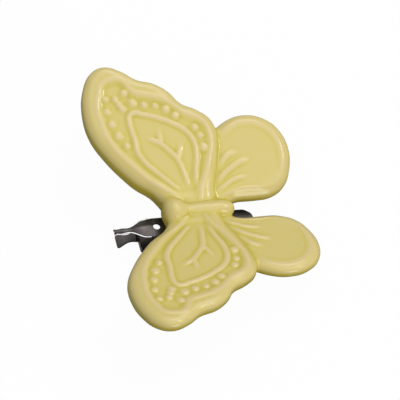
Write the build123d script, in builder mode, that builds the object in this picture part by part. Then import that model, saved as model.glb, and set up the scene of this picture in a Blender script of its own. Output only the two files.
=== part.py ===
"""A glazed ceramic butterfly glued on a spring clip. Millimetres, +Z up.

The part stands on the flat underside of its lower jaw, with the origin at the middle
of that face. X runs along the body, with the head towards -X, and Y across the wings.
The upper jaw, and all that is glued on it, lies on the sloping plane called deck.
"""

import math
import os

from build123d import *

os.makedirs("parts", exist_ok=True)

# Stampings of the clip
sheet = 0.6
jaw_width = 7.8
jaw_tip_width = 6.8
jaw_reach = 25.3
rest_length = 36.8
hinge_depth = 2.282
jaw_gap = 0.1
bend_radius = 0.4
upper_ear_root = 14.4
lower_ear_root = 8.0
ear_round = 2.0
ear_play = 0.1

# Upper finger tab, arched like a gutter, with the round hole beside it
upper_tab_reach = 20.0
upper_tab_crown = 0.95
hole_diameter = 2.3
hole_setback = 6.4

# Lower finger tab, on a riser behind the heel and the waist of the lower jaw
heel_length = 5.2
waist_width = 5.6
riser_height = 3.7
riser_lean = 0.5
riser_bend = 0.7
riser_top_width = 4.0
lower_tab_length = 7.4
lower_tab_width = 5.2
lower_tab_droop = 1.2
tab_corner = 0.7

# Hinge pin and torsion spring
pin_diameter = 1.7
pin_running_gap = 0.04
rivet_diameter = 3.0
rivet_height = 0.55
rivet_round = 0.35
wire_diameter = 0.6
coil_diameter = 2.8
coil_pitch = 1.27
coil_full_turns = 3
spring_leg = 4.8
leg_gap = 0.12

# Butterfly casting and the adhesive under it
wing_span = 100.0
ornament_length = 65.0
wing_dihedral = 15.0
wing_root_thickness = 6.9
wing_tip_thickness = 4.6
hind_root_thickness = 4.8
hind_tip_thickness = 4.2
wing_height = 7.7
wing_centre_reach = 7.1
hind_step = 1.2
top_round = 2.4
under_round = 1.4
panel_depth = 0.5
vein_width = 1.9
vein_height = 0.45
bead_width = 2.4
bead_height = 0.55
body_length = 23.2
body_setback = 12.6
body_height = 6.5
head_diameter = 8.4
thorax_diameter = 6.6
belly_length = 19.6
belly_width = 6.6
belly_setback = 10.5
glue_thickness = 0.8
glue_length = 17.8
glue_width = 5.8
overrun = 2.0

# Outlines on a wing: x as a share of ornament_length, y as a share of half the span
forewing_outline_shares = [
    (-0.135, -0.040), (-0.172, 0.078), (-0.194, 0.112), (-0.219, 0.152), (-0.289, 0.218),
    (-0.337, 0.278), (-0.419, 0.414), (-0.477, 0.560), (-0.491, 0.700), (-0.471, 0.852),
    (-0.415, 0.966), (-0.346, 0.998), (-0.265, 0.960), (-0.194, 0.896), (-0.115, 0.864),
    (-0.043, 0.796), (0.003, 0.718), (0.071, 0.672), (0.138, 0.596), (0.157, 0.500),
    (0.138, 0.340), (0.092, 0.140), (0.062, -0.040),
]
hindwing_outline_shares = [
    (0.030, -0.040), (0.077, 0.240), (0.126, 0.500), (0.208, 0.590), (0.315, 0.622),
    (0.415, 0.584), (0.482, 0.498), (0.509, 0.376), (0.495, 0.252), (0.449, 0.140),
    (0.369, 0.080), (0.269, 0.074), (0.205, 0.078), (0.160, 0.060), (0.138, 0.015), (0.130, -0.040),
]

# Sunken panel of a forewing, in the same shares, open at the body
panel_shares = [
    (-0.085, 0.064), (-0.135, 0.120), (-0.222, 0.202), (-0.298, 0.316), (-0.365, 0.426),
    (-0.400, 0.526), (-0.415, 0.624), (-0.420, 0.720), (-0.403, 0.800), (-0.382, 0.860),
    (-0.323, 0.890), (-0.277, 0.880), (-0.228, 0.796), (-0.169, 0.772), (-0.100, 0.744),
    (-0.038, 0.692), (0.000, 0.640), (0.031, 0.616), (0.069, 0.596), (0.097, 0.560),
    (0.112, 0.510), (0.117, 0.440), (0.111, 0.390), (0.100, 0.360), (0.062, 0.244),
    (0.020, 0.140), (0.003, 0.064),
]

# Raised veins, in the same shares
forewing_vein_shares = [
    [(-0.008, 0.140), (0.009, 0.258), (0.027, 0.352), (0.026, 0.440), (-0.002, 0.512),
     (-0.062, 0.570), (-0.131, 0.614), (-0.198, 0.642), (-0.246, 0.658), (-0.271, 0.640),
     (-0.277, 0.600), (-0.272, 0.544), (-0.265, 0.476), (-0.263, 0.412), (-0.237, 0.338),
     (-0.178, 0.252), (-0.122, 0.176), (-0.077, 0.120)],
    [(-0.042, 0.132), (-0.055, 0.260), (-0.071, 0.332), (-0.108, 0.396), (-0.138, 0.440),
     (-0.188, 0.476), (-0.215, 0.490)],
    [(-0.138, 0.440), (-0.140, 0.500), (-0.137, 0.556)],
    [(-0.071, 0.332), (-0.054, 0.388), (-0.035, 0.456)],
]
hindwing_vein_shares = [
    [(0.055, 0.126), (0.129, 0.206), (0.185, 0.256), (0.238, 0.292), (0.295, 0.316)],
    [(0.071, 0.100), (0.134, 0.142), (0.191, 0.180), (0.269, 0.200)],
    [(0.111, 0.260), (0.177, 0.338), (0.240, 0.376)],
    [(0.108, 0.080), (0.185, 0.110), (0.262, 0.120), (0.354, 0.112)],
]

# Beads in the panel, in the same shares
bead_shares = [
    (-0.309, 0.446), (-0.342, 0.514), (-0.363, 0.592), (-0.377, 0.676), (-0.372, 0.760),
    (-0.243, 0.724), (-0.277, 0.792), (-0.188, 0.704), (-0.134, 0.692), (-0.083, 0.666),
    (-0.043, 0.620), (0.042, 0.532), (0.062, 0.476), (0.069, 0.398), (-0.298, 0.690),
    (-0.311, 0.720), (-0.326, 0.756),
]

# Body profile: x as a share of body_length, radius as a share of the head's or the thorax's
head_profile_shares = [(0.060, 0.786), (0.155, 1.000), (0.241, 0.929), (0.310, 0.774)]
thorax_profile_shares = [
    (0.353, 0.909), (0.405, 0.955), (0.543, 1.000), (0.716, 1.000), (0.871, 0.909), (0.948, 0.697),
]

# Upper tab from its root, at 0, to its tip: half width as a share of half the jaw, and arch
upper_tab_shares = [
    (0.00, 0.870, 0.00), (0.10, 0.870, 0.21), (0.17, 0.860, 0.32), (0.31, 0.756, 0.42),
    (0.39, 0.615, 0.44), (0.47, 0.449, 0.42), (0.60, 0.262, 0.36), (0.74, 0.254, 0.50),
    (0.87, 0.268, 0.74), (1.00, 0.295, 1.00),
]

# Lower tab from its riser to its tip, at 1: half width as a share of half its greatest width
lower_tab_shares = [(0.12, 0.65), (0.30, 0.53), (0.55, 0.60), (0.80, 0.82), (1.00, 1.00)]

half_jaw = jaw_width / 2
half_span = wing_span / 2
pin_radius = pin_diameter / 2
bore_radius = pin_radius + pin_running_gap
coil_radius = coil_diameter / 2
closing_angle = 2 * math.atan((hinge_depth - jaw_gap / 2) / jaw_reach)
dihedral = math.radians(wing_dihedral)

# The deck is the top face of the upper jaw, measured from the point over the hinge
hinge = Vector(rest_length / 2 - jaw_reach, 0, sheet + hinge_depth)
deck_slope = Vector(math.cos(closing_angle), 0, -math.sin(closing_angle))
deck_normal = Vector(math.sin(closing_angle), 0, math.cos(closing_angle))
deck = Plane(hinge + deck_normal * (hinge_depth + sheet), x_dir=deck_slope, z_dir=deck_normal)
upper_side = Plane(hinge, x_dir=deck_slope, z_dir=(0, -1, 0))
lower_side = Plane(hinge, x_dir=(1, 0, 0), z_dir=(0, -1, 0))


def deck_section(x):
    """The plane across the deck at x, with +Y to the right and the deck's normal up."""
    return Plane(deck.from_local_coords((x, 0, 0)), x_dir=(0, 1, 0), z_dir=deck_slope)


def wing_plane(centre, tilt):
    """A plane through a point over the deck that rises to the +Y side by tilt."""
    normal = deck_normal * math.cos(tilt) - Vector(0, 1, 0) * math.sin(tilt)
    return Plane(centre, x_dir=deck_slope, z_dir=normal)


def wing_points(shares):
    """Points of a wing, in the plane of its top face."""
    return [(x * ornament_length, y * half_span / math.cos(dihedral)) for x, y in shares]


# Upper jaw: the folded ears first, then the flat jaw and the arched tab
upper_fold_height = sheet + hinge_depth + ear_round

with BuildPart() as upper_tab:
    with BuildSketch(deck_section(-upper_ear_root / 2)):
        Rectangle(jaw_width * upper_tab_shares[0][1], sheet, align=(Align.CENTER, Align.MAX))
    for along, width_share, arch in upper_tab_shares[1:]:
        half_width = half_jaw * width_share
        crown = upper_tab_crown * arch
        radius = (half_width * half_width + crown * crown) / (2 * crown)
        inner = (radius - sheet) / radius
        inner_low = (radius - crown) * inner - radius
        tab_x = -upper_ear_root / 2 - along * (upper_tab_reach - upper_ear_root / 2)
        with BuildSketch(deck_section(tab_x)):
            with BuildLine():
                top = ThreePointArc((-half_width, -crown), (0, 0), (half_width, -crown))
                under = ThreePointArc(
                    (half_width * inner, inner_low), (0, -sheet), (-half_width * inner, inner_low)
                )
                Line(top @ 1, under @ 0)
                Line(under @ 1, top @ 0)
            make_face()
    loft()

with BuildPart() as upper_jaw:
    with BuildSketch(deck_section(-upper_ear_root / 2)) as upper_fold:
        Rectangle(jaw_width, upper_fold_height, align=(Align.CENTER, Align.MAX))
        fillet(upper_fold.vertices().group_by(Axis.Y)[-1], bend_radius + sheet)
        with Locations((0, -sheet)):
            Rectangle(
                jaw_width - 2 * sheet, upper_fold_height, align=(Align.CENTER, Align.MAX), mode=Mode.SUBTRACT
            )
        fillet(upper_fold.vertices().group_by(Axis.Y)[-2], bend_radius)
    extrude(amount=upper_ear_root)
    with BuildSketch(upper_side):
        with Locations((0, hinge_depth + sheet)):
            Rectangle(upper_ear_root, sheet + bend_radius, align=(Align.CENTER, Align.MAX))
        Circle(ear_round)
        make_hull()
    extrude(amount=jaw_width, both=True, mode=Mode.INTERSECT)
    with BuildSketch(deck):
        with Locations((upper_ear_root / 2, 0)):
            Rectangle(sheet, jaw_width, align=(Align.MIN, Align.CENTER))
        with Locations((jaw_reach - jaw_tip_width / 2, 0)):
            Circle(jaw_tip_width / 2)
        make_hull()
    extrude(amount=-sheet)
    add(upper_tab.part)
    with BuildSketch(deck):
        with Locations((-hole_setback, 0)):
            Circle(hole_diameter / 2)
    extrude(amount=-sheet - overrun, mode=Mode.SUBTRACT)
    with BuildSketch(upper_side):
        Circle(bore_radius)
    extrude(amount=jaw_width, both=True, mode=Mode.SUBTRACT)

# Lower jaw: ears folded up inside the upper ones, the flat jaw and the raised tab
lower_ear_width = jaw_width - 2 * sheet - 2 * ear_play
lower_fold_height = sheet + hinge_depth + ear_round
shoulder_x = -rest_length / 2
riser_x = shoulder_x - riser_lean - sheet

with BuildPart() as lower_tab:
    with BuildSketch(Plane.XZ):
        with BuildLine():
            FilletPolyline(
                (shoulder_x + riser_bend + sheet, sheet / 2),
                (shoulder_x, sheet / 2),
                (shoulder_x - riser_lean, sheet / 2 + riser_height),
                (shoulder_x - lower_tab_length, sheet / 2 + riser_height - lower_tab_droop),
                radius=riser_bend,
            )
        trace(line_width=sheet)
    extrude(amount=jaw_width, both=True)
    with BuildSketch() as lower_tab_plan:
        tab_run = lower_tab_length - riser_lean - sheet
        edge = [(riser_x - x * tab_run, y * lower_tab_width / 2) for x, y in lower_tab_shares]
        with BuildLine():
            side = Spline((riser_x, riser_top_width / 2), *edge)
            Polyline(
                side @ 1,
                (shoulder_x - lower_tab_length, 0),
                (shoulder_x + riser_bend + sheet, 0),
                (shoulder_x + riser_bend + sheet, half_jaw),
                (riser_x, half_jaw),
                side @ 0,
            )
        make_face()
        mirror(about=Plane.XZ)
        fillet(lower_tab_plan.vertices().group_by(Axis.X)[0], tab_corner)
    extrude(amount=riser_height + sheet + overrun, mode=Mode.INTERSECT)
    with BuildSketch(Plane((riser_x, 0, 0), x_dir=(0, 1, 0), z_dir=(1, 0, 0))):
        with BuildLine():
            Polyline(
                (half_jaw, sheet),
                (riser_top_width / 2, sheet + riser_height - riser_bend),
                (riser_top_width / 2, sheet + riser_height + overrun),
                (half_jaw + overrun, sheet + riser_height + overrun),
                (half_jaw + overrun, sheet),
                close=True,
            )
        make_face()
        mirror(about=Plane.YZ)
    extrude(amount=riser_lean + riser_bend + 2 * sheet, mode=Mode.SUBTRACT)

with BuildPart() as lower_jaw:
    fold_plane = Plane((hinge.X - lower_ear_root / 2, 0, 0), x_dir=(0, 1, 0), z_dir=(1, 0, 0))
    with BuildSketch(fold_plane) as lower_fold:
        Rectangle(lower_ear_width, lower_fold_height, align=(Align.CENTER, Align.MIN))
        fillet(lower_fold.vertices().group_by(Axis.Y)[0], bend_radius + sheet)
        with Locations((0, sheet)):
            Rectangle(
                lower_ear_width - 2 * sheet,
                lower_fold_height,
                align=(Align.CENTER, Align.MIN),
                mode=Mode.SUBTRACT,
            )
        fillet(lower_fold.vertices().group_by(Axis.Y)[1], bend_radius)
    extrude(amount=lower_ear_root)
    with BuildSketch(lower_side):
        with Locations((0, -hinge_depth - sheet)):
            Rectangle(lower_ear_root, sheet + bend_radius, align=(Align.CENTER, Align.MIN))
        Circle(ear_round)
        make_hull()
    extrude(amount=jaw_width, both=True, mode=Mode.INTERSECT)
    with BuildSketch():
        with Locations((hinge.X + lower_ear_root / 2, 0)):
            Rectangle(sheet, jaw_width, align=(Align.MIN, Align.CENTER))
        with Locations((rest_length / 2 - jaw_tip_width / 2, 0)):
            Circle(jaw_tip_width / 2)
        make_hull()
    extrude(amount=sheet)
    with BuildSketch():
        with Locations((shoulder_x + riser_bend + sheet, 0)):
            Rectangle(heel_length - riser_bend - sheet, jaw_width, align=(Align.MIN, Align.CENTER))
            Rectangle(hinge.X - shoulder_x - riser_bend - sheet, waist_width, align=(Align.MIN, Align.CENTER))
    extrude(amount=sheet)
    add(lower_tab.part)
    with BuildSketch(lower_side):
        Circle(bore_radius)
    extrude(amount=jaw_width, both=True, mode=Mode.SUBTRACT)

# Hinge pin, riveted over at both ends
with BuildPart() as hinge_pin:
    with BuildSketch(lower_side):
        Circle(pin_radius)
    extrude(amount=half_jaw, both=True)
    with BuildSketch(lower_side.offset(half_jaw)):
        Circle(rivet_diameter / 2)
    extrude(amount=rivet_height)
    fillet(hinge_pin.faces().sort_by(Axis.Y)[0].edges(), rivet_round)
    mirror(about=Plane.XZ)

# Torsion spring: full turns and a half, with a leg under each finger tab
leg_tilt = math.asin((hinge_depth - leg_gap - wire_diameter / 2) / math.hypot(coil_radius, spring_leg))
leg_tilt -= math.atan2(coil_radius, spring_leg)
first_angle = -math.pi / 2 + leg_tilt
last_angle = 2 * math.pi * coil_full_turns + math.pi / 2 - leg_tilt - closing_angle
coil_sweep = last_angle - first_angle
quarter_turn = math.pi / 2
coil_rise = coil_pitch / (2 * math.pi)


def coil_climb(angle):
    """How far the coil has climbed along the pin, level at both ends where the legs leave."""
    done = angle - first_angle
    left = last_angle - angle
    if done < quarter_turn:
        return coil_rise * done * done / (2 * quarter_turn)
    if left < quarter_turn:
        return coil_rise * (coil_sweep - quarter_turn - left * left / (2 * quarter_turn))
    return coil_rise * (done - quarter_turn / 2)


def coil_point(angle):
    """A point on the coil's centre line, the middle of the coil being at the hinge."""
    along_pin = coil_climb(angle) - coil_climb(last_angle) / 2
    return hinge + Vector(coil_radius * math.cos(angle), along_pin, coil_radius * math.sin(angle))


def coil_tangent(angle):
    """The direction of the coil's centre line."""
    ease = min(1, (angle - first_angle) / quarter_turn, (last_angle - angle) / quarter_turn)
    across = Vector(-coil_radius * math.sin(angle), 0, coil_radius * math.cos(angle))
    return (across + Vector(0, coil_rise * ease, 0)).normalized()


def biarc_joint(start, start_tangent, end, end_tangent):
    """Where two equal-handled arcs meet between two points with given tangents."""
    chord = end - start
    both = start_tangent + end_tangent
    spread = 2 - 2 * start_tangent.dot(end_tangent)
    along = chord.dot(both)
    handle = (math.sqrt(along * along + spread * chord.dot(chord)) - along) / spread
    return (start + start_tangent * handle + end - end_tangent * handle) * 0.5


def least_gap(path, wire):
    """The least daylight between stretches of a wire that are over half a turn apart along it."""
    count = 400
    points = [path @ (i / count) for i in range(count + 1)]
    apart = math.ceil(count * math.pi * coil_radius / path.length)
    pairs = ((i, j) for i in range(count + 1) for j in range(i + apart, count + 1))
    return min((points[i] - points[j]).length for i, j in pairs) - wire


with BuildPart() as torsion_spring:
    coil_quarters = 4 * coil_full_turns + 2
    step = coil_sweep / coil_quarters
    with BuildLine() as wire_path:
        coil_start = coil_point(first_angle)
        leg = Line(coil_start - coil_tangent(first_angle) * spring_leg, coil_start)
        for quarter in range(coil_quarters):
            start = first_angle + quarter * step
            end = start + step
            joint = biarc_joint(coil_point(start), coil_tangent(start), coil_point(end), coil_tangent(end))
            first_arc = TangentArc(coil_point(start), joint, tangent=coil_tangent(start))
            TangentArc(joint, coil_point(end), tangent=first_arc % 1)
        Line(coil_point(last_angle), coil_point(last_angle) + coil_tangent(last_angle) * spring_leg)
    with BuildSketch(Plane(leg @ 0, z_dir=leg % 0)):
        Circle(wire_diameter / 2)
    sweep(path=wire_path.wires()[0])
print("least gap in the spring:", round(least_gap(wire_path.wires()[0], wire_diameter), 3), "mm")

# Butterfly: each wing is a tapered slab with rounded edges and raised veins
wing_centre = deck.from_local_coords((wing_centre_reach, 0, wing_height))
fore_top = wing_plane(wing_centre, dihedral)
hind_top = fore_top.offset(-hind_step)


def wing_blade(top, outline_shares, root_thickness, tip_thickness):
    """The slab of one wing on the +Y side."""
    upwards = Axis(top.origin, top.z_dir)
    taper = math.atan((root_thickness - tip_thickness) * math.cos(dihedral) / half_span)
    under = wing_plane(top.origin - deck_normal * root_thickness, dihedral + taper)
    with BuildPart() as blade:
        with BuildSketch(top):
            with BuildLine():
                edge = Spline(*wing_points(outline_shares))
                Line(edge @ 1, edge @ 0)
            make_face()
        extrude(amount=root_thickness + overrun, dir=-deck_normal)
        split(bisect_by=under, keep=Keep.TOP)
        top_rim = blade.faces().sort_by(upwards)[-1].edges()
        fillet(top_rim.filter_by(GeomType.LINE, reverse=True), top_round)
        under_rim = blade.faces().sort_by(upwards)[0].edges()
        fillet(under_rim.filter_by(GeomType.LINE, reverse=True), under_round)
    return blade.part


def wing_veins(floor, vein_shares, height):
    """Raised veins of a given height over a floor, with their roots sunk in it."""
    with BuildPart() as veins:
        for vein in vein_shares:
            with BuildSketch(floor.offset(-vein_height)):
                with BuildLine():
                    Spline(*wing_points(vein))
                trace(line_width=vein_width)
            extrude(amount=vein_height + height)
    return veins.part


panel_floor = fore_top.offset(-panel_depth)
bead_radius = (bead_width * bead_width / 4 + bead_height * bead_height) / (2 * bead_height)
bead_plane = panel_floor.offset(bead_height - bead_radius)

with BuildPart() as forewing:
    add(wing_blade(fore_top, forewing_outline_shares, wing_root_thickness, wing_tip_thickness))
    with BuildSketch(fore_top):
        with BuildLine():
            panel_edge = Spline(*wing_points(panel_shares))
            Line(panel_edge @ 1, panel_edge @ 0)
        make_face()
    extrude(amount=-panel_depth, mode=Mode.SUBTRACT)
    add(wing_veins(panel_floor, forewing_vein_shares, panel_depth))
    with Locations(*[bead_plane.from_local_coords((x, y, 0)) for x, y in wing_points(bead_shares)]):
        Sphere(bead_radius)

# The casting is the same on both sides of the body, so one half is made and mirrored
with BuildPart() as casting_half:
    add(forewing.part)
    add(wing_blade(hind_top, hindwing_outline_shares, hind_root_thickness, hind_tip_thickness))
    add(wing_veins(hind_top, hindwing_vein_shares, vein_height))
    body_axis = deck.from_local_coords((wing_centre_reach - body_setback, 0, body_height))
    with BuildSketch(Plane(body_axis, x_dir=deck_slope, z_dir=(0, -1, 0))):
        with BuildLine():
            profile = [(x * body_length, r * head_diameter / 2) for x, r in head_profile_shares]
            profile += [(x * body_length, r * thorax_diameter / 2) for x, r in thorax_profile_shares]
            Spline((0, 0), *profile, (body_length, 0), tangents=((0, 1), (0, -1)))
            Line((body_length, 0), (0, 0))
        make_face()
    revolve(axis=Axis(body_axis, deck_slope))
    with BuildSketch(deck.offset(glue_thickness)):
        with Locations((wing_centre_reach - belly_setback + belly_length / 2, 0)):
            SlotOverall(belly_length, belly_width)
    extrude(amount=body_height - glue_thickness)
    split(bisect_by=deck.offset(glue_thickness), keep=Keep.TOP)
    split(bisect_by=Plane.XZ, keep=Keep.BOTTOM)

with BuildPart() as butterfly_casting:
    add(casting_half.part)
    mirror(about=Plane.XZ)

# Adhesive bed between the belly and the upper jaw
with BuildPart() as glue_pad:
    with BuildSketch(deck):
        with Locations((wing_centre_reach - belly_setback + belly_length / 2, 0)):
            SlotOverall(glue_length, glue_width)
    extrude(amount=glue_thickness)

pieces = {
    "butterfly_casting": butterfly_casting,
    "glue_pad": glue_pad,
    "upper_jaw": upper_jaw,
    "lower_jaw": lower_jaw,
    "hinge_pin": hinge_pin,
    "torsion_spring": torsion_spring,
}
for name, piece in pieces.items():
    piece.part.label = name
    export_step(piece.part, f"parts/{name}.step")
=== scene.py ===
import math

import bmesh
import bpy
from mathutils import Matrix, Vector
from mathutils.kdtree import KDTree


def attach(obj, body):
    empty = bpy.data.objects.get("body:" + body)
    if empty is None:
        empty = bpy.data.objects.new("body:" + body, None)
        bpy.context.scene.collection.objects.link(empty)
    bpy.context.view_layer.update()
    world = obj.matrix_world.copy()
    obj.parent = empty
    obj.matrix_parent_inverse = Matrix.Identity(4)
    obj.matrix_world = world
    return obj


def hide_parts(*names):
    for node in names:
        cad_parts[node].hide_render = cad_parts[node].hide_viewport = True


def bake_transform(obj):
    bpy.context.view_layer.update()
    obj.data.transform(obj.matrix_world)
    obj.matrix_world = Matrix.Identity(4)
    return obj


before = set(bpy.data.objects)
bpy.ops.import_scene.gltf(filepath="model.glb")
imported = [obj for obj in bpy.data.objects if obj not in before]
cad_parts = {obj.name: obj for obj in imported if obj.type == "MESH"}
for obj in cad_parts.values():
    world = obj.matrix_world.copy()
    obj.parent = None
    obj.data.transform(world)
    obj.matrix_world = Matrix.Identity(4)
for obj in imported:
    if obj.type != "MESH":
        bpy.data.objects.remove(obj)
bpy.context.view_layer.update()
scene = bpy.context.scene
scene.view_settings.view_transform = "Standard"
mm = 0.001
vertKind, edgeKind, faceKind = bmesh.types.BMVert, bmesh.types.BMEdge, bmesh.types.BMFace
print("frame loaded with", len(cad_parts), "nodes")

# Place of the butterfly: the middle of its wings over the sloping upper jaw
deck = {
    "centre": (1.943, 0.0, 12.057),
    "tilt": 10.083,
    "hinge": (-6.9, 0.0, 2.882),
}
tilt = math.radians(deck["tilt"])
deckCentre = Vector(deck["centre"]) * mm
deckToWorld = Matrix.Translation(deckCentre) @ Matrix.Rotation(tilt, 4, "Y") @ Matrix.Scale(mm, 4)


class Wire:
    def __init__(self, tree, socket=None):
        self.tree = tree
        self.socket = socket

    def node(self, kind, settings=None, values=None, out=0):
        made = self.tree.nodes.new("ShaderNode" + kind)
        for name, value in (settings or {}).items():
            if name == "stops":
                ramp = made.color_ramp.elements
                while len(ramp) < len(value):
                    ramp.new(1.0)
                for stop, (place, colour) in zip(ramp, value):
                    stop.position = place
                    stop.color = colour
            else:
                setattr(made, name, value)
        for key, value in (values or {}).items():
            if isinstance(value, Wire):
                self.tree.links.new(value.socket, made.inputs[key])
            else:
                made.inputs[key].default_value = value
        return Wire(self.tree, made.outputs[out] if made.outputs else None)

    def sums(self, operation, first, second):
        return self.node("Math", {"operation": operation}, {0: first, 1: second})

    def __add__(self, other):
        return self.sums("ADD", self, other)

    def __radd__(self, other):
        return self.sums("ADD", other, self)

    def __sub__(self, other):
        return self.sums("SUBTRACT", self, other)

    def __rsub__(self, other):
        return self.sums("SUBTRACT", other, self)

    def __mul__(self, other):
        return self.sums("MULTIPLY", self, other)

    def __rmul__(self, other):
        return self.sums("MULTIPLY", other, self)


def tone(red, green, blue):  # colour as seen on a screen, made linear
    parts = [c / 255 for c in (red, green, blue)]
    return (*[c / 12.92 if c <= 0.04045 else ((c + 0.055) / 1.055) ** 2.4 for c in parts], 1.0)


def newFinish(name):
    finish = bpy.data.materials.new(name)
    finish.use_nodes = True
    tree = finish.node_tree
    tree.nodes.clear()
    return finish, Wire(tree)


def noise(wire, place, scale, detail=2.0, rough=0.5):
    return wire.node("TexNoise", {}, {
        "Vector": place, "Scale": scale, "Detail": detail, "Roughness": rough,
    })


def ramp(wire, stops, share):
    return wire.node("ValToRGB", {"stops": stops}, {"Fac": share})


def bump(wire, height, strength, distance):
    return wire.node("Bump", {}, {"Strength": strength, "Distance": distance, "Height": height})


def surface(wire, values):
    body = wire.node("BsdfPrincipled", {}, values)
    wire.node("OutputMaterial", {}, {"Surface": body})


# Yellow glaze: thin and pale on the crests, deep in the grooves; the deep colours also serve as
# painted shade on walls that face sideways or down
glaze = {
    "stops": [
        (0.00, tone(221, 200, 148)),
        (0.30, tone(214, 195, 123)),
        (0.50, tone(211, 194, 112)),
        (0.72, tone(207, 190, 88)),
        (1.00, tone(192, 174, 58)),
    ],
    "cloudScale": 220.0,
    "cloudDetail": 3.0,
    "cloudMiddle": 0.5,
    "cloudAmount": 0.10,
    "peelScale": 900.0,
    "peelStrength": 0.10,
    "peelDepth": 0.0002,
    "roughness": 0.18,
    "roughnessSpread": 0.08,
    "shader": {"IOR": 1.45, "Coat Weight": 0.15, "Coat Roughness": 0.06},
}


def makeGlaze():
    finish, wire = newFinish("yellowGlaze")
    place = wire.node("TexCoord", out="Object")
    # the attribute holds glaze pooling together with painted shade on walls that face sideways or
    # down
    depth = wire.node("Attribute", {"attribute_name": "glazeDepth"}, out="Fac")
    cloud = noise(wire, place, glaze["cloudScale"], glaze["cloudDetail"])
    peel = noise(wire, place, glaze["peelScale"])
    shade = depth + (cloud - glaze["cloudMiddle"]) * glaze["cloudAmount"]
    surface(wire, {
        "Base Color": ramp(wire, glaze["stops"], shade),
        "Roughness": cloud * glaze["roughnessSpread"] + glaze["roughness"],
        "Normal": bump(wire, peel, glaze["peelStrength"], glaze["peelDepth"]),
        **glaze["shader"],
    })
    return finish


# Black nickel plate on the stampings, drawn out along the clip
nickel = {
    "stops": [(0.30, tone(55, 50, 50)), (0.85, tone(104, 100, 98))],
    "cloudScale": 160.0,
    "cloudSpread": 0.08,
    "streakScale": 960.0,
    "streakStretch": (0.25, 3.0, 3.0),
    "streakDetail": 4.0,
    "streakRough": 0.6,
    "streakSpread": 0.16,
    "streakStrength": 0.08,
    "streakDepth": 0.0001,
    "roughness": 0.22,
}


def makeNickel():
    finish, wire = newFinish("blackNickel")
    place = wire.node("TexCoord", out="Object")
    drawn = wire.node("Mapping", {}, {"Vector": place, "Scale": nickel["streakStretch"]})
    detail, rough = nickel["streakDetail"], nickel["streakRough"]
    streak = noise(wire, drawn, nickel["streakScale"], detail, rough)
    cloud = noise(wire, place, nickel["cloudScale"])
    uneven = streak * nickel["streakSpread"] + cloud * nickel["cloudSpread"]
    surface(wire, {
        "Base Color": ramp(wire, nickel["stops"], cloud),
        "Metallic": 1.0,
        "Roughness": uneven + nickel["roughness"],
        "Normal": bump(wire, streak, nickel["streakStrength"], nickel["streakDepth"]),
    })
    return finish


# Finishes with one cloud for both tone and sheen
clouded = {
    "edge": {
        "name": "shearedEdge",
        "stops": [(0.2, tone(206, 206, 210)), (0.7, tone(238, 238, 240))],
        "scale": 2600.0,
        "roughness": 0.2,
        "spread": 0.2,
        "shader": {"Metallic": 1.0},
    },
    "spring": {
        "name": "springSteel",
        "stops": [(0.3, tone(92, 88, 90)), (0.8, tone(136, 132, 134))],
        "scale": 900.0,
        "roughness": 0.22,
        "spread": 0.15,
        "shader": {"Metallic": 1.0},
    },
    "glue": {
        "name": "clearGlue",
        "stops": [(0.3, tone(226, 216, 186)), (0.8, tone(240, 236, 220))],
        "scale": 500.0,
        "roughness": 0.1,
        "spread": 0.12,
        "shader": {"Transmission Weight": 0.45, "IOR": 1.47},
    },
}
cloudedDetail = 3.0


def makeClouded(look):
    finish, wire = newFinish(look["name"])
    place = wire.node("TexCoord", out="Object")
    cloud = noise(wire, place, look["scale"], cloudedDetail)
    surface(wire, {
        "Base Color": ramp(wire, look["stops"], cloud),
        "Roughness": cloud * look["spread"] + look["roughness"],
        **look["shader"],
    })
    return finish


finishes = {"glaze": makeGlaze(), "nickel": makeNickel()}
for use, look in clouded.items():
    finishes[use] = makeClouded(look)
print("finishes made:", ", ".join(finishes))


def settled(holder):  # the mesh that an object comes to, and the object is taken away
    scene.collection.objects.link(holder)
    bpy.context.view_layer.update()
    shown = holder.evaluated_get(bpy.context.evaluated_depsgraph_get())
    mesh = bpy.data.meshes.new_from_object(shown)
    bpy.data.objects.remove(holder)
    return mesh


# A smooth line through a few points, read back from an automatic curve
def smoothLine(points, steps, closed=False):
    curve = bpy.data.curves.new("line", "CURVE")
    curve.dimensions = "3D"
    curve.resolution_u = steps
    spline = curve.splines.new("BEZIER")
    spline.bezier_points.add(len(points) - 1)
    for knot, point in zip(spline.bezier_points, points):
        knot.co = (point[0], point[1], 0)
        knot.handle_left_type = knot.handle_right_type = "AUTO"
    spline.use_cyclic_u = closed
    mesh = settled(bpy.data.objects.new("line", curve))
    line = [corner.co.copy() for corner in mesh.vertices]
    bpy.data.curves.remove(curve)
    bpy.data.meshes.remove(mesh)
    return line


def chosen(geom, kind):
    return [g for g in geom if isinstance(g, kind)]


def placeOf(v):
    return v.co[:]


def capRing(bm, ring):  # one face over a closed ring of edges, begun at the same corner each run
    nextTo = {
        v: [e.other_vert(v) for e in v.link_edges if e in ring] for e in ring for v in e.verts
    }
    loop = [max(nextTo, key=placeOf)]
    loop.append(max(nextTo[loop[0]], key=placeOf))
    while len(loop) < len(nextTo):
        loop.append(next(v for v in nextTo[loop[-1]] if v != loop[-2]))
    bm.faces.new(loop)


def middleOf(f):
    return f.calc_center_median()[:]


def inOrder(bm):  # operators may leave the faces in another order each run
    ranks = {f: i for i, f in enumerate(sorted(bm.faces, key=middleOf))}
    bm.faces.sort(key=lambda f: ranks[f])


def meshOf(bm, name):
    mesh = bpy.data.meshes.new(name)
    bm.to_mesh(mesh)
    bm.free()
    return mesh


def addInto(whole, part):
    held = meshOf(part, "held")
    whole.from_mesh(held)
    bpy.data.meshes.remove(held)


def newPiece(name, mesh, body, slot, finish, *nodes):
    piece = bpy.data.objects.new(name, mesh)
    scene.collection.objects.link(piece)
    mesh.materials.append(finish)
    if body:
        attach(piece, body)
    if nodes:
        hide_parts(*nodes)
    return piece


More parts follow.
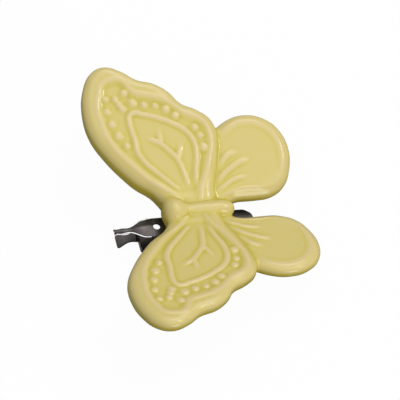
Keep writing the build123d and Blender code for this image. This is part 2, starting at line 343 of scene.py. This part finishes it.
# Butterfly casting, in millimetres over the deck: x to the tail, y across, z up
wings = {
    "dihedral": 15.0,
    "foreThick": (6.9, 4.6),
    "hindThick": (4.8, 4.2),
    "halfSpan": 50.0,
    "topRound": (3.2, 2.5),
    "underRound": (1.6, 1.5),
    "roundSteps": 6,
    "outlineSteps": 5,
    "hindStep": 1.2,
    "voxel": 0.37,
    "softening": 10,
    "softenShare": 0.5,
    "facing": (0.35, 0.85),
    "evenTurns": 2,
    "evenWeight": 4,
    "foreOutline": [
        (-9.6, -2.0), (-11.8, 3.7), (-13.0, 5.6), (-14.6, 7.6), (-19.0, 10.9), (-21.9, 13.9),
        (-27.2, 20.7), (-31.0, 28.0), (-31.9, 35.0), (-30.6, 42.6), (-27.0, 48.3), (-22.5, 49.9),
        (-17.2, 48.0), (-12.6, 44.8), (-7.5, 43.2), (-2.8, 39.8), (0.2, 35.9), (4.6, 33.6),
        (9.0, 29.8), (10.2, 25.0), (9.0, 17.0), (6.0, 7.0), (4.0, -2.0),
    ],
    "hindOutline": [
        (-6.0, -2.0), (-3.0, 9.0), (3.0, 19.0), (8.2, 25.5), (13.5, 29.5), (20.5, 31.1),
        (27.0, 29.2), (31.3, 24.9), (33.1, 18.8), (32.2, 12.6), (29.2, 7.0), (24.0, 4.0),
        (19.5, 3.6), (16.0, 3.6), (13.0, 3.6), (10.8, 3.0), (8.6, 1.6), (5.0, -0.4), (0.0, -2.2),
    ],
}
dihedral = math.radians(wings["dihedral"])


def roundOver(bm, face, size):  # a rounded edge as a flight of small insets
    wide, high = size
    steps = wings["roundSteps"]
    turns = [math.pi / 2 * i / steps for i in range(steps + 1)]
    for a, b in zip(turns, turns[1:]):
        bmesh.ops.inset_region(
            bm, faces=[face], thickness=wide * (math.cos(a) - math.cos(b)),
            depth=high * (math.sin(b) - math.sin(a)), use_boundary=True, use_even_offset=False,
        )


def wingSlab(outline, thick, step):
    bm = bmesh.new()
    line = smoothLine(outline, wings["outlineSteps"], True)
    under = bm.faces.new([bm.verts.new((p.x, p.y, 0)) for p in line])
    top = chosen(bmesh.ops.extrude_face_region(bm, geom=[under])["geom"], faceKind)[0]
    topDrop, underRise = wings["topRound"][1], wings["underRound"][1]
    bmesh.ops.translate(bm, verts=top.verts, vec=(0, 0, -topDrop))
    for low in under.verts:
        thinner = (thick[0] - thick[1]) * low.co.y / wings["halfSpan"]
        low.co.z = underRise - thick[0] + thinner
    bmesh.ops.recalc_face_normals(bm, faces=bm.faces)
    bm.normal_update()
    if top.normal.z < 0:
        bmesh.ops.reverse_faces(bm, faces=bm.faces)
        bm.normal_update()
    roundOver(bm, top, wings["topRound"])
    roundOver(bm, under, wings["underRound"])
    for v in bm.verts:
        v.co.z += v.co.y * math.tan(dihedral) - step
    return bm


bodyShape = {
    "axisDrop": 1.2,
    "profile": [
        (-12.8, 0.0), (-12.5, 2.3), (-11.4, 4.0), (-9.2, 4.8), (-7.0, 4.2), (-5.5, 3.2),
        (-4.4, 2.75), (-3.2, 2.75), (0.0, 2.85), (4.0, 2.85), (7.6, 2.7), (9.6, 2.2),
        (10.6, 1.2), (10.9, 0.0),
    ],
    "profileSteps": 6,
    "roundSteps": 40,
    "poleMerge": 0.01,
    "bellyMiddle": -0.7,
    "bellyLength": 19.6,
    "bellyWidth": 6.6,
    "bellyDepth": 6.9,
    "bellySides": 48,
    "blendWidth": 6.0,
    "blendTurns": 14,
}


def bodyRound():
    bm = bmesh.new()
    profile = smoothLine(bodyShape["profile"], bodyShape["profileSteps"])
    line = [bm.verts.new((p.x, 0, max(p.y, 0))) for p in profile]
    edges = [bm.edges.new(pair) for pair in zip(line, line[1:])]
    bmesh.ops.spin(
        bm, geom=line + edges, cent=(0, 0, 0), axis=(1, 0, 0), angle=2 * math.pi,
        steps=bodyShape["roundSteps"], use_merge=True,
    )
    bmesh.ops.remove_doubles(bm, verts=bm.verts, dist=bodyShape["poleMerge"])
    bmesh.ops.translate(bm, verts=bm.verts, vec=(0, 0, -bodyShape["axisDrop"]))
    return bm


def slotRing(bm, length, width, sides, filled):  # a ring with straight flanks and round ends
    bmesh.ops.create_circle(bm, cap_ends=filled, segments=sides, radius=width / 2)
    for v in bm.verts:
        v.co.x += math.copysign((length - width) / 2, v.co.x)


def bellyBlock():
    bm = bmesh.new()
    length, width = bodyShape["bellyLength"], bodyShape["bellyWidth"]
    slotRing(bm, length, width, bodyShape["bellySides"], True)
    low = bmesh.ops.extrude_face_region(bm, geom=bm.faces[:])["geom"]
    drop = bodyShape["axisDrop"] - bodyShape["bellyDepth"]
    bmesh.ops.translate(bm, verts=chosen(low, vertKind), vec=(0, 0, drop))
    place = (bodyShape["bellyMiddle"], 0, -bodyShape["axisDrop"])
    bmesh.ops.translate(bm, verts=bm.verts, vec=place)
    return bm


def remeshed(whole, voxel):
    raw = meshOf(whole, "raw")
    holder = bpy.data.objects.new("raw", raw)
    skin = holder.modifiers.new("skin", "REMESH")
    skin.mode = "VOXEL"
    skin.voxel_size = voxel
    mesh = settled(holder)
    bpy.data.meshes.remove(raw)
    return mesh


whole = bmesh.new()
addInto(whole, wingSlab(wings["foreOutline"], wings["foreThick"], 0.0))
addInto(whole, wingSlab(wings["hindOutline"], wings["hindThick"], wings["hindStep"]))
other = whole.copy()
bmesh.ops.scale(other, verts=other.verts, vec=(1, -1, 1))
bmesh.ops.reverse_faces(other, faces=other.faces)
addInto(whole, other)
addInto(whole, bodyRound())
addInto(whole, bellyBlock())
bmesh.ops.recalc_face_normals(whole, faces=whole.faces)
casting = remeshed(whole, wings["voxel"])
print("casting skinned:", len(casting.vertices), "points")

# Relief on one side, mirrored on the other.
# A raised line is its points, rise, half width and whether its first and last ends fade.
relief = {
    "recess": 0.34,
    "recessEdge": (0.2, 2.4),
    "recessFade": (3.2, 7.0),
    "rimRise": 0.15,
    "rimFlat": 0.3,
    "rimWidth": 1.15,
    "rimPale": 1.6,
    "rimSteps": 16,
    "beadRise": 0.40,
    "beadFlat": 0.4,
    "beadSize": 1.5,
    "beadSpread": (0.85, 0.95, 1.05, 1.15),
    "beadStride": 7,
    "lineFlat": 0.3,
    "lineFade": 4.0,
    "lineSteps": 24,
    "rootWidth": 0.6,
    "taperSpan": (4.0, 16.0),
    "foreSplitFade": 1.2,
    "hindSplitFade": 1.8,
    "split": [
        (4.0, 0.0), (6.2, 7.0), (9.0, 17.0), (10.4, 25.0), (10.2, 29.0), (10.2, 60.0),
    ],
    "rim": [
        (-5.5, 3.2), (-8.8, 6.0), (-14.4, 10.1), (-19.4, 15.8), (-23.7, 21.3), (-26.0, 26.3),
        (-27.0, 31.2), (-27.3, 36.0), (-26.2, 40.0), (-24.8, 43.0), (-21.0, 44.5), (-18.0, 44.0),
        (-14.8, 39.8), (-11.0, 38.6), (-6.5, 37.2), (-2.5, 34.6), (0.0, 32.0), (2.0, 30.8),
        (4.5, 29.8), (6.3, 28.0), (7.3, 25.5), (7.6, 22.0), (7.2, 19.5), (6.5, 18.0),
        (4.0, 12.2), (1.3, 7.0), (0.2, 3.2),
    ],
    "foreLines": [
        ([(-0.5, 7.0), (0.6, 12.9), (1.75, 17.6), (1.7, 22.0), (-0.1, 25.6), (-4.0, 28.5),
          (-8.5, 30.7), (-12.9, 32.1), (-16.0, 32.9), (-17.6, 32.0), (-18.0, 30.0), (-17.7, 27.2),
          (-17.2, 23.8), (-17.1, 20.6), (-15.4, 16.9), (-11.6, 12.6), (-7.9, 8.8), (-5.0, 6.0)],
         0.33, 1.05, (True, True)),
        ([(-2.7, 6.6), (-3.6, 13.0), (-4.6, 16.6), (-7.0, 19.8), (-9.0, 22.0), (-12.2, 23.8),
          (-14.0, 24.5)], 0.31, 1.0, (True, True)),
        ([(-9.0, 22.0), (-9.1, 25.0), (-8.9, 27.8)], 0.28, 0.95, (False, True)),
        ([(-4.6, 16.6), (-3.5, 19.4), (-2.3, 22.8)], 0.28, 0.95, (False, True)),
    ],
    "beads": [
        (-20.1, 22.3), (-22.2, 25.7), (-23.6, 29.6), (-24.5, 33.8), (-24.2, 38.0), (-15.8, 36.2),
        (-18.0, 39.6), (-12.25, 35.2), (-8.7, 34.6), (-5.4, 33.3), (-2.8, 31.0), (2.75, 26.6),
        (4.0, 23.8), (4.5, 19.9), (-19.4, 34.5), (-20.2, 36.0), (-21.2, 37.8),
    ],
    "hindLines": [
        ([(3.6, 6.3), (8.4, 10.3), (12.0, 12.8), (15.5, 14.6), (19.2, 15.8)],
         0.30, 1.1, (True, True)),
        ([(4.6, 5.0), (8.7, 7.1), (12.4, 9.0), (17.5, 10.0)], 0.30, 1.1, (True, True)),
        ([(7.2, 13.0), (11.5, 16.9), (15.6, 18.8)], 0.30, 1.1, (False, True)),
        ([(7.0, 4.0), (12.0, 5.5), (17.0, 6.0), (23.0, 5.6)], 0.26, 1.1, (True, True)),
        ([(10.6, 23.5), (15.0, 26.6), (19.0, 27.6), (23.0, 27.0), (26.5, 25.0), (29.0, 21.5),
          (29.9, 17.5), (29.6, 13.0), (28.0, 8.5)], 0.16, 1.5, (True, True)),
    ],
}


def ease(low, high, value):
    share = min(max((value - low) / (high - low), 0.0), 1.0)
    return share * share * (3 - 2 * share)


def treeOf(points):
    tree = KDTree(len(points))
    for i, point in enumerate(points):
        tree.insert(point, i)
    tree.balance()
    return tree


def rootTaper(y):  # every line narrows towards the body
    return relief["rootWidth"] + (1 - relief["rootWidth"]) * ease(*relief["taperSpan"], y)


class RaisedLines:
    def __init__(self, lines):
        self.facts = []
        points = []
        for corners, rise, width, (fadeFirst, fadeLast) in lines:
            run = smoothLine(corners, relief["lineSteps"])
            along = [0.0]
            for a, b in zip(run, run[1:]):
                along.append(along[-1] + (b - a).length)
            for p, travelled in zip(run, along):
                strength = 1.0
                if fadeFirst:
                    strength *= ease(0, relief["lineFade"], travelled)
                if fadeLast:
                    strength *= ease(0, relief["lineFade"], along[-1] - travelled)
                points.append(p)
                self.facts.append((rise * strength, width))
        self.tree = treeOf(points)

    def at(self, place):
        index, gap = self.tree.find(place)[1:]
        rise, width = self.facts[index]
        width *= rootTaper(place.y)
        return rise * (1 - ease(relief["lineFlat"] * width, width, gap))


def splitAt(y):  # where the fore wing ends and the hind wing begins
    for (xa, ya), (xb, yb) in zip(relief["split"], relief["split"][1:]):
        if y <= yb:
            return xa + (xb - xa) * (y - ya) / (yb - ya)
    return relief["split"][-1][0]


rimLine = smoothLine(relief["rim"], relief["rimSteps"])
rimTree = treeOf(rimLine)
foreLines = RaisedLines(relief["foreLines"])
hindLines = RaisedLines(relief["hindLines"])
beadTree = treeOf([(x, y, 0) for x, y in relief["beads"]])


def insideRim(x, y):
    crossed = False
    for a, b in zip(rimLine, rimLine[-1:] + rimLine[:-1]):
        if (a.y > y) != (b.y > y) and x < (b.x - a.x) * (y - a.y) / (b.y - a.y) + a.x:
            crossed = not crossed
    return crossed


def reliefAt(x, y):  # height over the plain wing, and how far it belongs to a crest
    place = Vector((x, y, 0))
    past = x - splitAt(y)
    if past >= 0:
        vein = hindLines.at(place) * ease(0.0, relief["hindSplitFade"], past)
        return vein, vein
    rimGap = rimTree.find(place)[2]
    which, beadGap = beadTree.find(place)[1:]
    spread = relief["beadSpread"]
    beadSize = relief["beadSize"] * spread[which * relief["beadStride"] % len(spread)]
    bead = relief["beadRise"] * (1 - ease(relief["beadFlat"], beadSize, beadGap))
    rimWidth = relief["rimWidth"] * rootTaper(y)
    rim = relief["rimRise"] * (1 - ease(relief["rimFlat"], rimWidth, rimGap))
    crest = max(foreLines.at(place), bead)
    sunk = relief["recess"] * ease(*relief["recessEdge"], rimGap) if insideRim(x, y) else 0.0
    sunk *= ease(*relief["recessFade"], y)
    near = ease(0.0, relief["foreSplitFade"], -past)
    return near * (max(crest, rim) - sunk), near * max(crest, relief["rimPale"] * rim)


def soften(bm, turns, only=None):
    for turn in range(turns):
        bmesh.ops.smooth_vert(
            bm, verts=[v for v in bm.verts if only(v)] if only else bm.verts,
            factor=wings["softenShare"], use_axis_x=True, use_axis_y=True, use_axis_z=True,
        )


def nearBody(v):
    return abs(v.co.y) < bodyShape["blendWidth"] and v.co.z > -bodyShape["axisDrop"]


def evened(values, bm):  # each value mixed with those of its neighbours
    own = wings["evenWeight"]
    mixed = []
    for v in bm.verts:
        around = sum((values[e.other_vert(v).index] for e in v.link_edges), Vector((0, 0)))
        mixed.append((values[v.index] * own + around) / (own + len(v.link_edges)))
    return mixed


skin = bmesh.new()
skin.from_mesh(casting)
soften(skin, wings["softening"])
soften(skin, bodyShape["blendTurns"], nearBody)  # the body flows into the wings
skin.normal_update()
crests = []
for v in skin.verts:
    outward = math.copysign(1, v.co.y) * v.normal.y
    upright = v.normal.z * math.cos(dihedral) - outward * math.sin(dihedral)
    facing = ease(*wings["facing"], upright)
    rise, crest = reliefAt(v.co.x, abs(v.co.y)) if facing else (0.0, 0.0)
    crests.append(Vector((facing * rise, facing * crest)))
skin.verts.index_update()
for turn in range(wings["evenTurns"]):  # take out the steps of the voxel skin
    crests = evened(crests, skin)
for v, (rise, crest) in zip(skin.verts, crests):
    v.co.z += rise
soften(skin, 1)
skin.normal_update()

# Glaze runs off the crests and the rounded edges, and gathers in the hollows. Walls that face
# sideways or down also get the deeper, darker colour: painted shade
glazePoolAndShade = {
    "closeTurns": 8,
    "broadTurns": 24,
    "plain": 0.52,
    "groove": 6.0,
    "hollow": 2.4,
    "pooledMost": 0.5,
    "thin": 2.2,
    "thinMost": 0.15,
    "crest": 0.8,
    # side and its span: painted shade, a darker glaze colour on walls that face sideways or down
    "side": 0.55,
    "shadeSideSpan": (0.55, -0.1),
}
close = skin.copy()
soften(close, glazePoolAndShade["closeTurns"])
broad = close.copy()
soften(broad, glazePoolAndShade["broadTurns"])
depthAndShadeLayer = skin.verts.layers.float.new("glazeDepth")
for v, c, w, (rise, crest) in zip(skin.verts, close.verts, broad.verts, crests):
    groove = max((c.co - v.co).dot(v.normal), 0.0)
    hollow = (w.co - v.co).dot(v.normal)
    # painted shade: the more a wall faces sideways or down, the deeper and darker its glaze colour
    side = ease(*glazePoolAndShade["shadeSideSpan"], v.normal.z)
    thin = max(min(hollow, 0.0) * glazePoolAndShade["thin"], -glazePoolAndShade["thinMost"]) * (1 - side)
    pooled = groove * glazePoolAndShade["groove"] + max(hollow, 0.0) * glazePoolAndShade["hollow"]
    depth = glazePoolAndShade["plain"] + min(pooled, glazePoolAndShade["pooledMost"]) + thin
    v[depthAndShadeLayer] = depth - glazePoolAndShade["crest"] * crest + glazePoolAndShade["side"] * side
close.free()
broad.free()
skin.transform(deckToWorld)
for f in skin.faces:
    f.smooth = True
skin.to_mesh(casting)
skin.free()
casting.name = "glazedButterfly"
newPiece(
    "glazedButterfly", casting, "ornament", "yellow_glaze", finishes["glaze"], "butterfly_casting"
)
print("butterfly modelled:", len(casting.polygons), "faces")

# Clip stampings: the solids with softened edges. The upper one has a pressed ridge and lip,
# and the trimmed edges of its tab are bright. Spans run along the deck from the hinge, in mm.
clip = {
    "mergeGap": 1e-6,
    "flatTurn": 1.0,
    "edgeRound": 0.06,
    "edgeSteps": 3,
    "sharpTurn": 32.0,
    "wingMiddle": 7.1,
    "brightFrom": -19.6,
    "brightTo": -7.9,
    "brightSide": 0.6,
    "brightSlope": 0.15,
    "brightAcross": 0.9,
    "brightWire": 0.2,
    "brightSteps": 2,
    "brightMerge": 1e-7,
    "ridge": 0.5,
    "ridgeRise": (-15.5, -12.0),
    "ridgeFall": (-5.0, -2.5),
    "lip": 0.35,
    "lipSpan": (15.8, 18.0),
    "lipEdge": (0.2, 1.6),
    "jawHalf": 3.9,
    "jawReach": 25.3,
}
worldToDeck = deckToWorld.inverted()
deckUp = Vector((math.sin(tilt), 0, math.cos(tilt)))


def workedCopy(node):
    bm = bmesh.new()
    bm.from_mesh(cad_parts[node].data)
    bmesh.ops.remove_doubles(bm, verts=bm.verts, dist=clip["mergeGap"])
    flat = math.radians(clip["flatTurn"])
    bmesh.ops.dissolve_limit(bm, angle_limit=flat, verts=bm.verts, edges=bm.edges)
    return bm


def sharpEdges(bm):
    turn = math.radians(clip["sharpTurn"])
    return [e for e in bm.edges if len(e.link_faces) == 2 and e.calc_face_angle() > turn]


def roundEdges(bm):
    bmesh.ops.bevel(
        bm, geom=sharpEdges(bm), offset=clip["edgeRound"] * mm, offset_type="OFFSET",
        affect="EDGES", segments=clip["edgeSteps"], profile=0.5, material=-1, clamp_overlap=True,
    )


def fromHinge(point):
    return (worldToDeck @ point).x + clip["wingMiddle"]


def pressed(bm):  # the ridge along the tab, and the raised lip round the jaw's tip
    for v in bm.verts:
        along, across = fromHinge(v.co), abs(v.co.y) / mm
        crown = max(1 - across / clip["jawHalf"], 0.0)
        ridge = ease(*clip["ridgeRise"], along) * (1 - ease(*clip["ridgeFall"], along)) * crown
        inside = min(clip["jawReach"] - along, clip["jawHalf"] - across)
        lip = ease(*clip["lipSpan"], along) * (1 - ease(*clip["lipEdge"], inside))
        v.co += deckUp * (ridge * clip["ridge"] + lip * clip["lip"]) * mm


def trimmed(edge):  # an edge of the upper face that runs along the clip
    upward = max(f.normal.dot(deckUp) for f in edge.link_faces)
    way = (edge.verts[0].co - edge.verts[1].co).normalized()
    return upward > clip["brightSlope"] and abs(way.y) < clip["brightAcross"]


def brightWire(bm, side):  # the trimmed edge, rolled a little and worn bright
    line = dict.fromkeys(
        v for e in sharpEdges(bm) if trimmed(e) for v in e.verts
        if v.co.y * side > clip["brightSide"] * mm
        and clip["brightFrom"] < fromHinge(v.co) < clip["brightTo"]
    )
    route = sorted((v.co.copy() for v in line), key=fromHinge)
    curve = bpy.data.curves.new("trimmedEdge", "CURVE")
    curve.dimensions = "3D"
    curve.bevel_depth = clip["brightWire"] * mm
    curve.bevel_resolution = clip["brightSteps"]
    curve.use_fill_caps = True
    spline = curve.splines.new("POLY")
    spline.points.add(len(route) - 1)
    for knot, point in zip(spline.points, route):
        knot.co = (*point, 1)
    mesh = settled(bpy.data.objects.new("trimmedEdge", curve))
    bpy.data.curves.remove(curve)
    tube = bmesh.new()
    tube.from_mesh(mesh)
    bpy.data.meshes.remove(mesh)
    bmesh.ops.remove_doubles(tube, verts=tube.verts, dist=clip["brightMerge"])
    bmesh.ops.recalc_face_normals(tube, faces=tube.faces)
    for f in tube.faces:
        f.material_index = 1
    return tube


def clipPiece(name, bm, body, node, finish):
    for f in bm.faces:
        f.smooth = True
    inOrder(bm)
    piece = newPiece(name, meshOf(bm, name), body, "black_nickel", finish, node)
    even = piece.modifiers.new("even", "WEIGHTED_NORMAL")
    even.keep_sharp = True
    return piece


upper = workedCopy("upper_jaw")
pressed(upper)
upper.normal_update()
brightWires = [brightWire(upper, side) for side in (-1, 1)]
roundEdges(upper)
for tube in brightWires:
    addInto(upper, tube)
upperPiece = clipPiece("upperStamping", upper, "ornament", "upper_jaw", finishes["nickel"])
upperPiece.data.materials.append(finishes["edge"])
lower = workedCopy("lower_jaw")
roundEdges(lower)
lowerPiece = clipPiece("lowerStamping", lower, "lower_jaw", "lower_jaw", finishes["nickel"])
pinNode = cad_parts["hinge_pin"]
pinNode.data.materials.clear()
pinNode.data.materials.append(finishes["nickel"])
stampedFaces = [len(piece.data.polygons) for piece in (upperPiece, lowerPiece)]
print("clip stampings finished:", *stampedFaces, "faces")

# Torsion spring, wound round the pin, a leg on each stamping
spring = {
    "wire": 0.30,
    "coil": 1.40,
    "leg": 4.8,
    "climb": 4.05,
    "firstAngle": -84.4,
    "lastAngle": 1154.3,
    "steps": 130,
    "sides": 14,
}


def springForm():
    bm = bmesh.new()
    first, last = math.radians(spring["firstAngle"]), math.radians(spring["lastAngle"])
    ring = bmesh.ops.create_circle(bm, segments=spring["sides"], radius=spring["wire"])["verts"]
    bmesh.ops.translate(bm, verts=ring, vec=(spring["coil"], -spring["climb"] / 2, 0))
    turned = Matrix.Rotation(-first, 3, "Y")
    bmesh.ops.rotate(bm, verts=ring, cent=(0, 0, 0), matrix=turned)
    hoop = bm.edges[:]
    wound = bmesh.ops.spin(
        bm, geom=ring + hoop, cent=(0, 0, 0), axis=(0, -1, 0), angle=last - first,
        steps=spring["steps"], dvec=(0, spring["climb"] / spring["steps"], 0),
    )["geom_last"]
    ends = [
        (hoop, Vector((math.sin(first), 0, -math.cos(first)))),
        (chosen(wound, edgeKind), Vector((-math.sin(last), 0, math.cos(last)))),
    ]
    for edges, way in ends:
        drawn = bmesh.ops.extrude_edge_only(bm, edges=edges)["geom"]
        bmesh.ops.translate(bm, verts=chosen(drawn, vertKind), vec=way * spring["leg"])
        capRing(bm, [e for e in chosen(drawn, edgeKind) if e.is_boundary])
    bmesh.ops.recalc_face_normals(bm, faces=bm.faces)
    for f in bm.faces:
        f.smooth = len(f.verts) == 4
    bm.transform(Matrix.Translation(Vector(deck["hinge"]) * mm) @ Matrix.Scale(mm, 4))
    inOrder(bm)
    return meshOf(bm, "woundSpring")


springPiece = newPiece(
    "woundSpring", springForm(), None, "spring_wire", finishes["spring"], "torsion_spring"
)
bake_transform(springPiece)
print("spring wound:", len(springPiece.data.polygons), "faces")

# Adhesive: a squeezed bead with an uneven, bulging edge. A wave is its size, count and start.
glue = {
    "middle": -0.7,
    "length": 17.8,
    "width": 5.8,
    "sides": 96,
    "from": -7.7,
    "thick": 0.8,
    "bulge": 0.42,
    "bulgePower": 0.6,
    "waves": [(0.25, 5, 0.0), (0.20, 11, 1.0)],
    "levels": 8,
}
glueForm = bmesh.new()
slotRing(glueForm, glue["length"], glue["width"], glue["sides"], False)
rim = glueForm.edges[:]
capRing(glueForm, rim)
for level in range(glue["levels"]):
    drawn = bmesh.ops.extrude_edge_only(glueForm, edges=rim)["geom"]
    raisedRing = chosen(drawn, vertKind)
    bmesh.ops.translate(glueForm, verts=raisedRing, vec=(0, 0, glue["thick"] / glue["levels"]))
    rim = [e for e in chosen(drawn, edgeKind) if all(v in raisedRing for v in e.verts)]
capRing(glueForm, rim)
for v in glueForm.verts:
    angle = math.atan2(v.co.y, v.co.x)
    swell = max(math.sin(math.pi * v.co.z / glue["thick"]), 0.0) ** glue["bulgePower"]
    uneven = 1 + sum(size * math.sin(count * angle + start) for size, count, start in glue["waves"])
    outward = Vector((v.co.x / glue["length"], v.co.y / glue["width"], 0)).normalized()
    v.co += outward * swell * uneven * glue["bulge"]
bmesh.ops.translate(glueForm, verts=glueForm.verts, vec=(glue["middle"], 0, glue["from"]))
bmesh.ops.recalc_face_normals(glueForm, faces=glueForm.faces)
for f in glueForm.faces:
    f.smooth = len(f.verts) == 4
glueForm.transform(deckToWorld)
inOrder(glueForm)
glueMesh = meshOf(glueForm, "glueBead")
newPiece("glueBead", glueMesh, "ornament", "clear_glue", finishes["glue"], "glue_pad")
print("glue laid:", len(glueMesh.polygons), "faces")

# Stage: pale floor, soft lights, white surround. A lamp is its name, place, size and power.
stage = {
    "floorSize": 3.0,
    "floorTone": tone(240, 240, 240),
    "bounceTone": tone(150, 150, 148),
    "floorGlow": 0.97,
    "white": (1, 1, 1, 1),
    "worldLevel": 0.46,
    "lamps": [
        ("key", (0.45, 0.10, 0.88), 1.00, 3.4),
        ("back", (0.42, 0.57, 0.76), 0.45, 1.3),
        ("front", (0.42, -0.86, 0.42), 0.46, 3.0),
        ("glint", (0.66, 0.13, 0.74), 0.10, 0.50),
    ],
}

floorForm = bmesh.new()
bmesh.ops.create_grid(floorForm, x_segments=1, y_segments=1, size=stage["floorSize"] / 2)
floorMesh = meshOf(floorForm, "paleFloor")
floor = bpy.data.objects.new("paleFloor", floorMesh)
scene.collection.objects.link(floor)
floorFinish, wire = newFinish("paleFloor")
seen = wire.node("LightPath", out="Is Camera Ray")
pale = wire.node("BsdfDiffuse", {}, {"Color": stage["floorTone"]})
grey = wire.node("BsdfDiffuse", {}, {"Color": stage["bounceTone"]})
matte = wire.node("MixShader", {}, {0: seen, 1: grey, 2: pale})
bright = wire.node("Emission", {}, {"Color": stage["white"], "Strength": 1.0})
mixed = wire.node("MixShader", {}, {0: seen * stage["floorGlow"], 1: matte, 2: bright})
wire.node("OutputMaterial", {}, {"Surface": mixed})
floorMesh.materials.append(floorFinish)

# The surround is full white where it is seen, mirrored or seen through, and dimmer as a light
world = bpy.data.worlds.new("whiteSurround")
scene.world = world
world.use_nodes = True
world.node_tree.nodes.clear()
wire = Wire(world.node_tree)
camera = wire.node("LightPath", out="Is Camera Ray")
glossy = wire.node("LightPath", out="Is Glossy Ray")
through = wire.node("LightPath", out="Is Transmission Ray")
shown = wire.sums("MINIMUM", camera + glossy + through, 1.0)
level = shown * (1.0 - stage["worldLevel"]) + stage["worldLevel"]
sky = wire.node("Background", {}, {"Color": stage["white"], "Strength": level})
wire.node("OutputWorld", {}, {"Surface": sky})


def aimedBack(way):  # the turn of a lamp or camera that looks against a direction
    return way.to_track_quat("Z", "Y").to_euler()


for name, place, size, power in stage["lamps"]:
    lamp = bpy.data.lights.new(name, "AREA")
    lamp.size = size
    lamp.energy = power
    lampObject = bpy.data.objects.new(name, lamp)
    lampObject.location = place
    lampObject.rotation_euler = aimedBack(Vector(place) - deckCentre)
    scene.collection.objects.link(lampObject)

shot = {
    "azimuth": -13.5,
    "elevation": 55.52,
    "distance": 0.77875,
    "lens": 225.0,
    "sensor": 36.0,
    "shift": (-0.005, 0.0213),
}
turn, raised = math.radians(shot["azimuth"]), math.radians(shot["elevation"])
ground = math.cos(raised)
back = Vector((math.sin(turn) * ground, -math.cos(turn) * ground, math.sin(raised)))
cameraData = bpy.data.cameras.new("photoCamera")
cameraData.lens = shot["lens"]
cameraData.sensor_width = shot["sensor"]
cameraData.shift_x, cameraData.shift_y = shot["shift"]
cameraObject = bpy.data.objects.new("photoCamera", cameraData)
cameraObject.location = deckCentre + back * shot["distance"]
cameraObject.rotation_euler = aimedBack(back)
scene.collection.objects.link(cameraObject)
scene.camera = cameraObject
print("stage lit, camera set")
